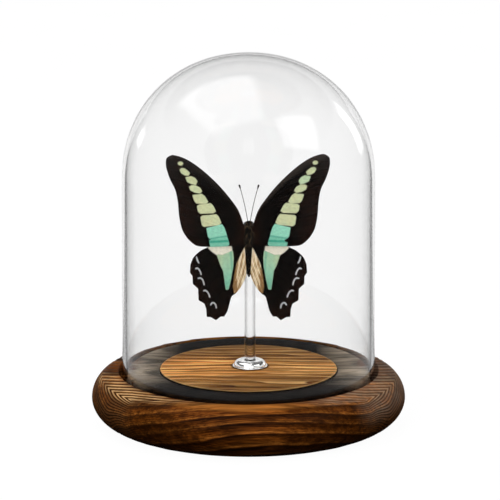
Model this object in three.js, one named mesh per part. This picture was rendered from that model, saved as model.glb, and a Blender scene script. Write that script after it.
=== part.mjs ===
// A spread swallowtail butterfly on a clear rod, under a glass dome on a turned softwood base.
//
// Frame: millimetres, +Z up, origin at the centre of the base's underside. The butterfly's upper
// side faces -Y, and its left wings are on -X. Thirteen separate pieces, each one closed solid.
import * as THREE from "three";

// ---------------------------------------------------------------- driving dimensions (mm)

// Base: a board turned to a full round nose, drawn in further below its widest line than above it,
// with a flat-bottomed recess in its top.
const BASE_RADIUS = 62;
const BASE_HEIGHT = 21.6;
const NOSE_REACH_BELOW = 14;
const NOSE_TOP_ANGLE = 87;
const RECESS_RADIUS = 51.3;
const RECESS_DEPTH = 6;
const LIP_ROUND = 0.6;
const LIP_OUTER_ANGLE = 100;

// Black ring and centre disc, both standing on the recess floor.
const RING_RADIUS = 47.9;
const RING_ABOVE_BASE = 0.4;
const RING_ROUND = 0.8;
const DISC_RADIUS = 35.1;
const DISC_ABOVE_RING = 0.6;
const DISC_ROUND = 0.5;
const INLAY_GAP = 0.3;

// Glass dome: a straight cylinder closed by a crown slightly fuller than a hemisphere.
const DOME_RADIUS = 50;
const DOME_WALL = 1.6;
const DOME_HEIGHT = 133.6;
const CROWN_POWER = 2.12;

// Clear rod and its metal foot, both standing on the centre disc, a little behind its middle.
const ROD_RADIUS = 2.2;
const ROD_X = 0.6;
const ROD_Y = 3;
const ROD_TOP = 78;
const ROD_ROUND = 0.25;
const FOOT_RADIUS = 6.9;
const FOOT_HEIGHT = 2.5;
const FOOT_FLANGE = 0.5;
const FOOT_TOP_RADIUS = 4.3;

// Butterfly: the body's long axis stands upright in front of the rod, and the wings lie in two
// upright planes, the forewings in front of the hindwings.
const BODY_X = 0.2;
const BODY_Y = -2.4;
const WING_THICKNESS = 0.5;
const FOREWING_Y = -3.85;
const HINDWING_Y = -3.05;
const WING_ROOT = [3, 78];
const RIGHT_FOREWING_RAISE = THREE.MathUtils.degToRad(0.9);
const ANTENNA_RADIUS = 0.3;
const ANTENNA_LEAN = -0.8;
const ANTENNA_BOW = 0.42;

// Body radius at each height above the table, from the tip of the abdomen to the crown of the head.
const BODY_PROFILE = [
  [0, 60.2], [0.5, 61], [0.85, 63], [1.2, 66], [1.6, 69], [1.8, 71.5], [1.55, 73.2],
  [2.2, 74.6], [2.7, 77], [2.5, 79], [1.5, 80.6], [1.75, 81.6], [1.55, 82.6], [0.9, 83.1], [0, 83.3],
];

// Wing outlines: distance out from the dome's axis, then height above the table.
// Forewing: leading edge out to the tip, outer margin down, then the trailing edge back in.
const FOREWING_LEADING = [
  [2.3, 82], [4.1, 87.7], [7.6, 93], [11.9, 98.2], [16.7, 102.8], [21.3, 106.4], [25.5, 108.8],
  [29.4, 109.9], [31.6, 109.4], [32.5, 107.8],
];
const FOREWING_OUTER = [
  [32.5, 107.8], [32.4, 104.6], [30.9, 100.2], [28.8, 95.7], [27.8, 90.7], [27.3, 85.3],
  [26.2, 80.1], [23.4, 75.6], [20.7, 73.6], [17.8, 73.2],
];
const FOREWING_ROOT = [[7.3, 73.6], [3.4, 74.8], [3.1, 79]];

// Hindwing: leading edge under the forewing, scalloped outer margin, then the inner margin
// alongside the abdomen.
const HINDWING_LEADING = [
  [3.2, 74.6], [9, 75.6], [13.2, 74.6], [15.9, 72.6], [18.9, 71.4], [22, 68.5], [23, 65.3],
];
const HINDWING_SCALLOPS = [
  [23.1, 62.3], [22.1, 60.8], [22, 57.7], [19.9, 55.7], [19.7, 51], [17.4, 49.6], [16.7, 47.4],
  [16.5, 44.2], [15, 44.1], [12.8, 42.8], [11, 44.3], [9.6, 44.3], [8.2, 46.9], [6.9, 51.9],
  [6, 53], [5.1, 52.6],
];
const HINDWING_INNER = [[5.1, 52.6], [2, 59.1], [1.3, 61.8], [1.9, 66], [2.5, 71]];

const ANTENNA_BASE = [0.5, 83.7];
const ANTENNA_TIP = [3.9, 98];

// Facets: how finely each round shape is turned.
const BASE_SEGMENTS = 72;
const DOME_SEGMENTS = 56;
const CROWN_STEPS = 12;
const NOSE_STEPS = 6;
const ROUNDING_STEPS = 2;
const SMALL_SEGMENTS = 28;
const FOOT_STEPS = 5;
const BODY_SEGMENTS = 20;
const LEADING_STEPS = 16;
const OUTER_STEPS = 14;
const HINDWING_LEADING_STEPS = 12;
const ANTENNA_STEPS = 10;
const ANTENNA_SIDES = 8;

// ---------------------------------------------------------------- worked-out levels and radii

const RECESS_FLOOR = BASE_HEIGHT - RECESS_DEPTH;
const RING_TOP = BASE_HEIGHT + RING_ABOVE_BASE;
const DISC_TOP = RING_TOP + DISC_ABOVE_RING;
const CROWN_CENTRE = RECESS_FLOOR + DOME_HEIGHT - DOME_RADIUS;

// ---------------------------------------------------------------- shape helpers

// Points on part of an ellipse in the radius-height plane: reach is its half width along the
// radius and rise its half height. Angles are in degrees from the outward direction.
function bow(centreR, centreZ, reach, rise, fromDeg, toDeg, steps) {
  const points = [];
  for (let i = 0; i <= steps; i += 1) {
    const a = THREE.MathUtils.degToRad(fromDeg + ((toDeg - fromDeg) * i) / steps);
    points.push([centreR + reach * Math.cos(a), centreZ + rise * Math.sin(a)]);
  }
  return points;
}

// The same for part of a circle.
function arc(centreR, centreZ, radius, fromDeg, toDeg, steps) {
  return bow(centreR, centreZ, radius, radius, fromDeg, toDeg, steps);
}

// A closed solid of revolution about +Z. The profile runs anticlockwise in the radius-height plane.
function turned(profile, segments) {
  const points = profile.map(([r, z]) => new THREE.Vector2(r, z));
  const geometry = new THREE.LatheGeometry(points, segments);
  return geometry.rotateX(Math.PI / 2);
}

// A flat upright plate in the X-Z plane, centred on the given Y. side is -1 for left, 1 for right.
function plate(outline, side, y) {
  const shape = new THREE.Shape(outline.map(([out, z]) => new THREE.Vector2(side * out, z)));
  const geometry = new THREE.ExtrudeGeometry(shape, { depth: WING_THICKNESS, bevelEnabled: false });
  return geometry.rotateX(Math.PI / 2).translate(0, y + WING_THICKNESS / 2, 0);
}

// A smooth run of points through the given ones, so that a few points hold a long curved edge.
function smooth(points, steps) {
  const curve = new THREE.SplineCurve(points.map(([a, b]) => new THREE.Vector2(a, b)));
  return curve.getPoints(steps).map((p) => [p.x, p.y]);
}

function named(name, geometry, finish) {
  const mesh = new THREE.Mesh(geometry, new THREE.MeshStandardMaterial(finish));
  mesh.name = name;
  return mesh;
}

// ---------------------------------------------------------------- finishes

const STAINED_PINE = { color: 0x6b4220, roughness: 0.55, metalness: 0 };
const BLACK_STAIN = { color: 0x1c1917, roughness: 0.45, metalness: 0 };
const GOLDEN_PINE = { color: 0xa9713a, roughness: 0.5, metalness: 0 };
const CLEAR_GLASS = { color: 0xf4f8f7, roughness: 0.03, metalness: 0, transparent: true, opacity: 0.25 };
const POLISHED_METAL = { color: 0xd8d8d6, roughness: 0.12, metalness: 1 };
const DARK_FUR = { color: 0x15100c, roughness: 0.95, metalness: 0 };
const WING_SCALES = { color: 0x1b0f08, roughness: 0.85, metalness: 0 };

// ---------------------------------------------------------------- base, ring and disc

// Flat underside, full round nose, rounded lip, recess wall and recess floor.
function woodBase() {
  const nose = BASE_HEIGHT / 2;
  const lipR = RECESS_RADIUS + LIP_ROUND;
  const lipZ = BASE_HEIGHT - LIP_ROUND;
  return turned([
    [0, 0],
    ...bow(BASE_RADIUS - NOSE_REACH_BELOW, nose, NOSE_REACH_BELOW, nose, -90, 0, NOSE_STEPS),
    ...arc(BASE_RADIUS - nose, nose, nose, 0, NOSE_TOP_ANGLE, NOSE_STEPS).slice(1),
    ...arc(lipR, lipZ, LIP_ROUND, LIP_OUTER_ANGLE, 180, ROUNDING_STEPS),
    [RECESS_RADIUS, RECESS_FLOOR],
    [0, RECESS_FLOOR],
  ], BASE_SEGMENTS);
}

// A flat ring with rounded upper edges, closed on itself.
function blackRing() {
  const inner = DISC_RADIUS + INLAY_GAP;
  const profile = [
    [inner, RECESS_FLOOR],
    [RING_RADIUS, RECESS_FLOOR],
    ...arc(RING_RADIUS - RING_ROUND, RING_TOP - RING_ROUND, RING_ROUND, 0, 90, ROUNDING_STEPS),
    [inner, RING_TOP],
  ];
  return turned([...profile, profile[0]], BASE_SEGMENTS);
}

function centreDisc() {
  return turned([
    [0, RECESS_FLOOR],
    [DISC_RADIUS, RECESS_FLOOR],
    ...arc(DISC_RADIUS - DISC_ROUND, DISC_TOP - DISC_ROUND, DISC_ROUND, 0, 90, ROUNDING_STEPS),
    [0, DISC_TOP],
  ], BASE_SEGMENTS);
}

// ---------------------------------------------------------------- glass dome, rod and foot

// One surface of the crown: (r / R)^n + (h / R)^n = 1, from the shoulder to the top.
function crown(radius, steps) {
  const points = [];
  for (let i = 0; i <= steps; i += 1) {
    const a = ((Math.PI / 2) * i) / steps;
    const r = radius * Math.cos(a) ** (2 / CROWN_POWER);
    const h = radius * Math.sin(a) ** (2 / CROWN_POWER);
    points.push([i === steps ? 0 : r, CROWN_CENTRE + h]);
  }
  return points;
}

// Down the inner surface from the top to the open rim, then up the outer surface to the top.
function glassDome() {
  const inner = DOME_RADIUS - DOME_WALL;
  return turned([
    ...crown(inner, CROWN_STEPS).reverse(),
    [inner, RECESS_FLOOR],
    [DOME_RADIUS, RECESS_FLOOR],
    ...crown(DOME_RADIUS, CROWN_STEPS),
  ], DOME_SEGMENTS);
}

function glassRod() {
  return turned([
    [0, DISC_TOP],
    [ROD_RADIUS, DISC_TOP],
    ...arc(ROD_RADIUS - ROD_ROUND, ROD_TOP - ROD_ROUND, ROD_ROUND, 0, 90, ROUNDING_STEPS),
    [0, ROD_TOP],
  ], SMALL_SEGMENTS).translate(ROD_X, ROD_Y, 0);
}

// A low boss: thin flange, convex flank, small flat top and a through hole for the rod.
function rodFoot() {
  const hole = ROD_RADIUS + INLAY_GAP;
  const flank = FOOT_HEIGHT - FOOT_FLANGE;
  const spread = FOOT_RADIUS - FOOT_TOP_RADIUS;
  const profile = [
    [hole, DISC_TOP],
    [FOOT_RADIUS, DISC_TOP],
    ...bow(FOOT_TOP_RADIUS, DISC_TOP + FOOT_FLANGE, spread, flank, 0, 90, FOOT_STEPS),
    [hole, DISC_TOP + FOOT_HEIGHT],
  ];
  return turned([...profile, profile[0]], SMALL_SEGMENTS).translate(ROD_X, ROD_Y, 0);
}

// ---------------------------------------------------------------- butterfly

function butterflyBody() {
  return turned(BODY_PROFILE, BODY_SEGMENTS).translate(BODY_X, BODY_Y, 0);
}

// The right forewing is set a little higher than the left one, turned about its root.
function forewing(side) {
  const outline = [
    ...smooth(FOREWING_LEADING, LEADING_STEPS),
    ...smooth(FOREWING_OUTER, OUTER_STEPS).slice(1),
    ...FOREWING_ROOT,
  ];
  const wing = plate(outline, side, FOREWING_Y);
  if (side < 0) return wing;
  const [rootX, rootZ] = WING_ROOT;
  wing.translate(-rootX, 0, -rootZ);
  wing.rotateY(-RIGHT_FOREWING_RAISE);
  return wing.translate(rootX, 0, rootZ);
}

function hindwing(side) {
  const outline = [
    ...smooth(HINDWING_LEADING, HINDWING_LEADING_STEPS),
    ...HINDWING_SCALLOPS,
    ...HINDWING_INNER.slice(1),
  ];
  return plate(outline, side, HINDWING_Y);
}

// A thin stalk that bows slightly outwards on its way from the head to its tip.
function antenna(side) {
  const [baseOut, baseZ] = ANTENNA_BASE;
  const [tipOut, tipZ] = ANTENNA_TIP;
  const path = new THREE.QuadraticBezierCurve3(
    new THREE.Vector3(BODY_X + side * baseOut, BODY_Y, baseZ),
    new THREE.Vector3(BODY_X + side * tipOut * ANTENNA_BOW, BODY_Y + ANTENNA_LEAN / 2, (baseZ + tipZ) / 2),
    new THREE.Vector3(BODY_X + side * tipOut, BODY_Y + ANTENNA_LEAN, tipZ),
  );
  const section = new THREE.Shape();
  section.absarc(0, 0, ANTENNA_RADIUS, 0, 2 * Math.PI);
  return new THREE.ExtrudeGeometry(section, {
    steps: ANTENNA_STEPS,
    curveSegments: ANTENNA_SIDES,
    extrudePath: path,
  });
}

// ---------------------------------------------------------------- the whole object

const object = new THREE.Group();
object.add(named("wood_base", woodBase(), STAINED_PINE));
object.add(named("black_ring", blackRing(), BLACK_STAIN));
object.add(named("centre_disc", centreDisc(), GOLDEN_PINE));
object.add(named("glass_dome", glassDome(), CLEAR_GLASS));
object.add(named("glass_rod", glassRod(), CLEAR_GLASS));
object.add(named("rod_foot", rodFoot(), POLISHED_METAL));
object.add(named("butterfly_body", butterflyBody(), DARK_FUR));
for (const [word, side] of [["left", -1], ["right", 1]]) {
  object.add(named(`forewing_${word}`, forewing(side), WING_SCALES));
  object.add(named(`hindwing_${word}`, hindwing(side), WING_SCALES));
  object.add(named(`antenna_${word}`, antenna(side), DARK_FUR));
}

export default object;
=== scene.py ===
from math import cos, pi, radians, sin, sqrt

import bmesh
import bpy
import numpy as np
from bpy.props import FloatProperty, FloatVectorProperty, IntProperty, PointerProperty
from mathutils import Matrix, Vector


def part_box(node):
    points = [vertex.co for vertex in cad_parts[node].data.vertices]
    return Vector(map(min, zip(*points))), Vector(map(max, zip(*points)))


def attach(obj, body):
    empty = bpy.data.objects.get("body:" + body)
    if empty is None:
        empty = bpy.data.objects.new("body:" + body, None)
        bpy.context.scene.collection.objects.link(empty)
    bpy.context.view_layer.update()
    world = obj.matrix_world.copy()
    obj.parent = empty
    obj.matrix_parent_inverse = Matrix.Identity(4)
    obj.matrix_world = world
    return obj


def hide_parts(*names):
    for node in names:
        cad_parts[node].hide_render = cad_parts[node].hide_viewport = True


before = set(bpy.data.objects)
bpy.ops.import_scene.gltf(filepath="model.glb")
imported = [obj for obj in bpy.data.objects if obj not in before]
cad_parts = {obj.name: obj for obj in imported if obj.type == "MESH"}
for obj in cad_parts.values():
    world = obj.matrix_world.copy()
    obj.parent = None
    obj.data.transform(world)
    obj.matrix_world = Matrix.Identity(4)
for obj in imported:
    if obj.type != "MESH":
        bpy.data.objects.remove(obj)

# A spread swallowtail butterfly on a clear rod, under a glass dome on a turned softwood base.
# Everything is in the frame's own metres, +Z up. The butterfly's upper side faces -Y.

bl_info = {
    "name": "Insect in glass dome",
    "version": (1, 0, 0),
    "blender": (4, 5, 0),
    "location": "View3D > Sidebar > Insect Dome",
    "description": "Builds a spread butterfly on a rod, its glass dome and its wooden base",
    "category": "Object",
}

MM = 0.001
BODY = "root"
SIDES = (("left", -1), ("right", 1))


# ------------------------------------------------------------------ places read from the frame


def low(node):
    """Lowest corner of a frame node."""
    return np.array(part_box(node)[0])


def high(node):
    """Highest corner of a frame node."""
    return np.array(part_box(node)[1])


BASE_RADIUS = float(high("wood_base")[0])
BASE_TOP = float(high("wood_base")[2])
NOSE = BASE_TOP / 2
RECESS_FLOOR = float(low("glass_dome")[2])
RING_RADIUS = float(high("black_ring")[0])
RING_TOP = float(high("black_ring")[2])
DISC_RADIUS = float(high("centre_disc")[0])
DISC_TOP = float(high("centre_disc")[2])
DOME_RADIUS = float(high("glass_dome")[0])
DOME_TOP = float(high("glass_dome")[2])
ROD_CENTRE = (low("glass_rod") + high("glass_rod")) / 2
ROD_RADIUS = float(high("glass_rod")[0] - ROD_CENTRE[0])
ROD_TOP = float(high("glass_rod")[2])
FOOT_RADIUS = float(high("rod_foot")[0] - ROD_CENTRE[0])
FOOT_TOP = float(high("rod_foot")[2])
BODY_CENTRE = (low("butterfly_body") + high("butterfly_body")) / 2
BODY_X, BODY_Y = BODY_CENTRE[:2] / MM
FOREWING_Y = float((low("forewing_left") + high("forewing_left"))[1] / 2)
HINDWING_Y = float((low("hindwing_left") + high("hindwing_left"))[1] / 2)


def srgb(red, green, blue):
    """Linear colour of a screen colour given from 0 to 255: c / 12.92 in the darkest part, and
    ((c + 0.055) / 1.055) ^ 2.4 above it."""
    shares = [channel / 255 for channel in (red, green, blue)]
    return [c / 12.92 if c <= 0.04045 else ((c + 0.055) / 1.055) ** 2.4 for c in shares]


# ------------------------------------------------------------------ settings a user would change


def length(name, description, default):
    """A length setting in metres."""
    return FloatProperty(
        name=name, description=description, default=default, unit="LENGTH", min=0, precision=5
    )


def colour(name, description, default):
    """A colour setting, given as a screen colour from 0 to 255."""
    return FloatVectorProperty(
        name=name, description=description, default=srgb(*default), subtype="COLOR", size=3, min=0, max=1
    )


class DomeWoodSettings(bpy.types.PropertyGroup):
    ring_width: length("Growth ring width", "Distance between dark growth lines", 4.05 * MM)
    relief: length("Brushed depth", "How far the soft wood is brushed back", 0.16 * MM)
    pale_wood: colour("Pale wood", "Soft early wood of the base", (206, 132, 58))
    mid_wood: colour("Stained wood", "Stained body colour of the base", (132, 72, 22))
    dark_wood: colour("Growth line", "Hard late wood of the base", (34, 16, 6))
    end_wood: colour("End grain", "Stain drunk up by the end grain", (80, 50, 26))
    # Pale of the rubbed ridges, which also carries their painted highlight.
    rubbed: colour("Rubbed ridges", "Ridges rubbed pale towards the ends", (240, 192, 132))
    # Grey of the painted reflection on the right end's ridges.
    sheen_grey: colour("Dusty end", "Dust on the ridges of the right end", (186, 164, 144))
    golden_pale: colour("Disc pale wood", "Pale wood of the centre disc", (250, 202, 128))
    golden_mid: colour("Disc wood", "Body colour of the centre disc", (216, 152, 80))
    golden_dark: colour("Disc growth line", "Dark lines of the centre disc", (112, 58, 16))
    black_stain: colour("Black stain", "Stained ring", (20, 15, 12))
    # Pale of the painted reflection on the ring's sides.
    ring_sheen: colour("Worn ring", "Where the ring's stain is worn through", (222, 200, 172))


class DomeGlassSettings(bpy.types.PropertyGroup):
    wall: length("Dome wall", "Thickness of the blown glass", 1.6 * MM)
    crown_wall: length("Crown wall", "Thickness at the top, where the glass was blown thinner", 0.8 * MM)
    crown_power: FloatProperty(
        name="Crown fullness", description="2 is a hemisphere, more is fuller", default=2.12, min=1.5, max=4
    )
    ior: FloatProperty(name="Glass IOR", description="Bending power of the glass", default=1.49, min=1, max=2)
    tint: colour("Glass tint", "Light kept at each passage through the surface", (252, 252, 252))
    metal: colour("Foot metal", "Polished metal of the rod's foot", (236, 236, 234))


class DomeButterflySettings(bpy.types.PropertyGroup):
    wing_dark: colour("Wing ground", "Near-black brown of the wings", (9, 4, 2))
    wing_warm: colour("Wing margin", "Warmer brown towards the outer margins", (32, 14, 6))
    # Grey of the painted sheen along the forewing's front edge.
    costa_sheen: colour("Wing front edge", "Grey gloss along the forewing's front edge", (70, 62, 56))
    pale_spot: colour("Pale cells", "Upper cells of the band", (224, 226, 178))
    turquoise: colour("Turquoise cells", "Lower cells of the band", (160, 230, 202))
    teal: colour("Teal cell", "Lowest cell of the forewing band", (74, 176, 148))
    cream: colour("Cream patch", "Top of the hindwing band", (255, 248, 228))
    fold: colour("Inner fold", "Tan hair beside the abdomen", (238, 220, 188))
    lunule: colour("Crescents", "Row of crescents on the hindwing", (224, 226, 228))
    red_spot: colour("Underside spots", "Red marks of the hindwing's underside", (150, 46, 30))
    fur: colour("Body fur", "Fur of head, thorax and abdomen", (8, 5, 3))
    fur_tips: colour("Fur tips", "Lighter ends of the hairs", (160, 132, 98))
    hairs: IntProperty(
        name="Hairs", description="Number of hairs on the body", default=5200, min=0, max=20000
    )


class DomeStageSettings(bpy.types.PropertyGroup):
    camera_distance: length("Camera distance", "From the point aimed at", 4.0)
    elevation: FloatProperty(
        name="Camera elevation",
        description="Angle above the horizon",
        default=radians(14.6),
        subtype="ANGLE",
    )
    frame_width: length("Frame width", "Width of the view where the object stands", 0.1981)
    floor_radius: length("Floor radius", "The floor reaches past the camera", 6.2)


# ------------------------------------------------------------------ lines, surfaces and meshes


def smoothstep(start, end, value):
    """0 before start, 1 after end, 3 t^2 - 2 t^3 between."""
    t = np.clip((value - start) / (end - start), 0, 1)
    return t * t * (3 - 2 * t)


def between(start, end, angle):
    """smoothstep between two angles in degrees, of an angle in radians."""
    return smoothstep(radians(start), radians(end), angle)


def full_turn(count):
    """Angles of `count` equal steps round a full turn."""
    return np.linspace(0, 2 * pi, count, endpoint=False)


def ripples(points, wave_length, seed, count=7):
    """Smooth noise from about -1 to 1: the mean of `count` sine waves of about the given length, each
    along its own direction and with its own phase."""
    chance = np.random.default_rng(seed)
    ways = chance.normal(size=(count, 3))
    ways /= np.linalg.norm(ways, axis=1, keepdims=True)
    rates = 2 * pi / (wave_length * chance.uniform(0.7, 1.6, count))
    phases = chance.uniform(0, 2 * pi, count)
    return np.sin(points @ (ways * rates[:, None]).T + phases).sum(-1) / sqrt(count)


def spline(points, count):
    """Catmull-Rom curve: from P1 to its neighbour P2 it runs 0.5 (2 P1 + (P2 - P0) t
    + (2 P0 - 5 P1 + 4 P2 - P3) t^2 + (3 P1 - P0 - 3 P2 + P3) t^3)."""
    points = np.asarray(points, float)
    padded = np.vstack([2 * points[0] - points[1], points, 2 * points[-1] - points[-2]])
    place = np.linspace(0, len(points) - 1, count)
    first = np.minimum(place.astype(int), len(points) - 2)
    t = (place - first)[:, None]
    p0, p1, p2, p3 = (padded[first + k] for k in range(4))
    bend = (2 * p0 - 5 * p1 + 4 * p2 - p3) * t**2
    twist = (3 * p1 - p0 - 3 * p2 + p3) * t**3
    return 0.5 * (2 * p1 + (p2 - p0) * t + bend + twist)


def evened(line, count):
    """The same line, its points an equal length apart."""
    steps = np.linalg.norm(np.diff(line, axis=0), axis=1)
    along = np.concatenate([[0], np.cumsum(steps)])
    wanted = np.linspace(0, along[-1], count)
    return np.stack([np.interp(wanted, along, column) for column in line.T], axis=1)


def arc(centre, radius, start, end, count):
    """Points (radius, height) of a circle's arc, angles in degrees from the outward direction."""
    turn = np.radians(np.linspace(start, end, count))
    return np.stack([centre[0] + radius * np.cos(turn), centre[1] + radius * np.sin(turn)], axis=1)


def turned(profile, segments, centre=(0, 0)):
    """Surface of revolution: (x, y, z) = (cx + r cos a, cy + r sin a, z) for the profile's (r, z).
    The profile runs anticlockwise in the radius-height plane, so the faces look outwards."""
    turn = full_turn(segments)[:, None]
    radius, height = np.asarray(profile, float).T
    x = centre[0] + radius * np.cos(turn)
    y = centre[1] + radius * np.sin(turn)
    return np.stack([x, y, np.broadcast_to(height, x.shape)], axis=-1)


def grid_faces(rows, columns, wrap_rows=False, wrap_columns=False, first=0):
    """Quads of a grid of points, one row after the other; each looks along row step x column step."""
    index = first + np.arange(rows * columns).reshape(rows, columns)
    if wrap_rows:
        index = np.vstack([index, index[:1]])
    if wrap_columns:
        index = np.hstack([index, index[:, :1]])
    corners = [index[:-1, :-1], index[1:, :-1], index[1:, 1:], index[:-1, 1:]]
    return np.stack(corners, axis=-1).reshape(-1, 4)


def tube(path, radii, sides):
    """Rings of points round a path: P + r (cos a N + sin a B), with N and B square to the path."""
    path = np.asarray(path, float)
    along = np.gradient(path, axis=0)
    along /= np.linalg.norm(along, axis=1, keepdims=True)
    helper = np.where(np.abs(along[:, 1:2]) < 0.9, [[0.0, 1.0, 0.0]], [[1.0, 0.0, 0.0]])
    normal = np.cross(helper, along)
    normal /= np.linalg.norm(normal, axis=1, keepdims=True)
    binormal = np.cross(along, normal)
    turn = full_turn(sides)[:, None, None]
    reach = np.asarray(radii, float)[None, :, None]
    return path + reach * (np.cos(turn) * normal + np.sin(turn) * binormal)


def placed(name, data):
    """An object of the given data in the scene, at the origin."""
    thing = bpy.data.objects.new(name, data)
    bpy.context.scene.collection.objects.link(thing)
    return thing


def rounded_off(along, share):
    """1 along a limb, and over its last share the square root of how far it is from the end."""
    return np.sqrt(np.clip((1 - along) / share, 0, 1))


def new_piece(name, points, faces, material, marks=None, stands_for=()):
    """One mesh object from whole arrays: points (n, 3), faces (m, 3 or 4) and one array of n values
    for each named mark. Doubled points at poles are merged."""
    mesh = bpy.data.meshes.new(name)
    corners = faces.shape[1]
    mesh.vertices.add(len(points))
    mesh.vertices.foreach_set("co", np.asarray(points, np.float32).ravel())
    mesh.loops.add(faces.size)
    mesh.loops.foreach_set("vertex_index", faces.astype(np.int32).ravel())
    mesh.polygons.add(len(faces))
    mesh.polygons.foreach_set("loop_start", np.arange(0, faces.size, corners, dtype=np.int32))
    mesh.update(calc_edges=True)
    for mark, values in (marks or {}).items():
        layer = mesh.attributes.new(mark, "FLOAT", "POINT")
        layer.data.foreach_set("value", np.asarray(values, np.float32).ravel())
    work = bmesh.new()
    work.from_mesh(mesh)
    bmesh.ops.remove_doubles(work, verts=work.verts, dist=1e-7)
    bmesh.ops.dissolve_degenerate(work, edges=work.edges, dist=1e-9)
    work.to_mesh(mesh)
    work.free()
    mesh.polygons.foreach_set("use_smooth", np.ones(len(mesh.polygons), bool))
    mesh.validate()
    piece = placed(name, mesh)
    mesh.materials.append(material)
    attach(piece, BODY)
    if stands_for:
        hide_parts(*stands_for)
    return piece


def round_piece(name, grid, material, marks=None, stands_for=(), closed=False):
    """A piece from a grid of points whose last row meets its first; `closed` joins its columns too."""
    faces = grid_faces(*grid.shape[:2], wrap_rows=True, wrap_columns=closed)
    return new_piece(name, grid.reshape(-1, 3), faces, material, marks, stands_for)


# ------------------------------------------------------------------ materials


def opaque(tint):
    """A colour of three channels, or a grey given as one number, with full alpha."""
    channels = (tint,) * 3 if isinstance(tint, (int, float)) else tint
    return (*channels, 1)


def toned(tint, factor, lift=0.0):
    """A colour times a factor, raised by a little grey."""
    return [factor * channel + lift for channel in tint]


class Nodes:
    """A node tree under way, and short calls that add nodes to it."""

    def __init__(self, tree):
        self.tree = tree

    def put(self, socket, value):
        """Links a socket to another, or sets its number or colour."""
        if isinstance(value, bpy.types.NodeSocket):
            self.tree.links.new(value, socket)
        elif socket.type == "RGBA":
            socket.default_value = opaque(value)
        else:
            socket.default_value = value

    def node(self, kind, output=0, **values):
        """Adds a node, sets its inputs by position (i0, i1, ...) and its options by name."""
        node = self.tree.nodes.new("ShaderNode" + kind)
        for name, value in values.items():
            if name[0] == "i" and name[1:].isdigit():
                self.put(node.inputs[int(name[1:])], value)
            else:
                setattr(node, name, value)
        return node.outputs[output]

    def math(self, operation, first, second=0.0, third=0.0):
        """Arithmetic on one to three values."""
        return self.node("Math", operation=operation, i0=first, i1=second, i2=third)

    def times(self, first, second):
        """The product of two values."""
        return self.math("MULTIPLY", first, second)

    def span(self, value, start, end, out_start=0.0, out_end=1.0, way="LINEAR"):
        """Stretches start..end to out_start..out_end, and stays within them."""
        ends = {"i1": start, "i2": end, "i3": out_start, "i4": out_end}
        return self.node("MapRange", interpolation_type=way, i0=value, **ends)


class Finish(Nodes):
    """A material under way: a Principled shader, the colour reached so far, and short calls that lay
    more on it."""

    def __init__(self, name, tint=None):
        self.tint = tint
        self.material = bpy.data.materials.new(name)
        self.material.use_nodes = True
        super().__init__(self.material.node_tree)
        self.tree.nodes.clear()
        self.shader = self.tree.nodes.new("ShaderNodeBsdfPrincipled")
        self.surface = self.tree.nodes.new("ShaderNodeOutputMaterial").inputs["Surface"]
        self.put(self.surface, self.shader.outputs[0])

    def set(self, **values):
        """Sets the shader's sockets; base_color stands for "Base Color" and so on."""
        for name, value in values.items():
            title = name.replace("_", " ").title().replace("Ior", "IOR")
            self.put(self.shader.inputs[title], value)

    def made(self, **values):
        """Sets the shader's sockets and its base colour to the colour reached, and returns the material."""
        self.set(base_color=self.tint, **values)
        return self.material

    def place(self, scale=(1, 1, 1)):
        """Object coordinates, stretched by the scale."""
        return self.node("Mapping", i0=self.node("TexCoord", "Object"), i3=scale)

    def along(self, axis):
        """Object coordinate along one axis, in metres."""
        return self.node("SeparateXYZ", axis, i0=self.place())

    def noise(self, scale, detail=3.0, roughness=0.55, distortion=0.0):
        """Noise from 0 to 1 with about `scale` features a metre along X, Y and Z."""
        return self.node("TexNoise", i0=self.place(scale), i2=1.0, i3=detail, i4=roughness, i8=distortion)

    def mark(self, name, share=1.0):
        """A value carried by the mesh, or a share of it."""
        value = self.node("Attribute", "Fac", attribute_name=name)
        return value if share == 1 else self.times(value, share)

    def blend(self, factor, first, second, mode="MIX"):
        """Mixes two colours."""
        return self.node("MixRGB", blend_type=mode, i0=factor, i1=first, i2=second)

    def steps(self, value, *stops):
        """Colour ramp through (place, colour) stops, where a number stands for a grey."""
        node = self.tree.nodes.new("ShaderNodeValToRGB")
        ramp = node.color_ramp
        while len(ramp.elements) < len(stops):
            ramp.elements.new(0.5)
        for element, (place, tint) in zip(ramp.elements, stops):
            element.position = place
            element.color = opaque(tint)
        self.put(node.inputs[0], value)
        return node.outputs[0]

    def paint(self, amount, tint, mode="MIX"):
        """Lays a colour over what is there, as far as the amount says."""
        self.tint = self.blend(amount, self.tint, tint, mode)

    def vary(self, amount, value, *stops):
        """Multiplies what is there by a ramp read at a value, as far as the amount says."""
        self.paint(amount, self.steps(value, *stops), "MULTIPLY")

    def bump(self, height, depth, strength):
        """Surface normal for a height from 0 to 1 that stands for `depth` metres."""
        node = self.tree.nodes.new("ShaderNodeBump")
        for name, value in (("Strength", strength), ("Distance", depth), ("Height", height)):
            self.put(node.inputs[name], value)
        return node.outputs[0]


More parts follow.
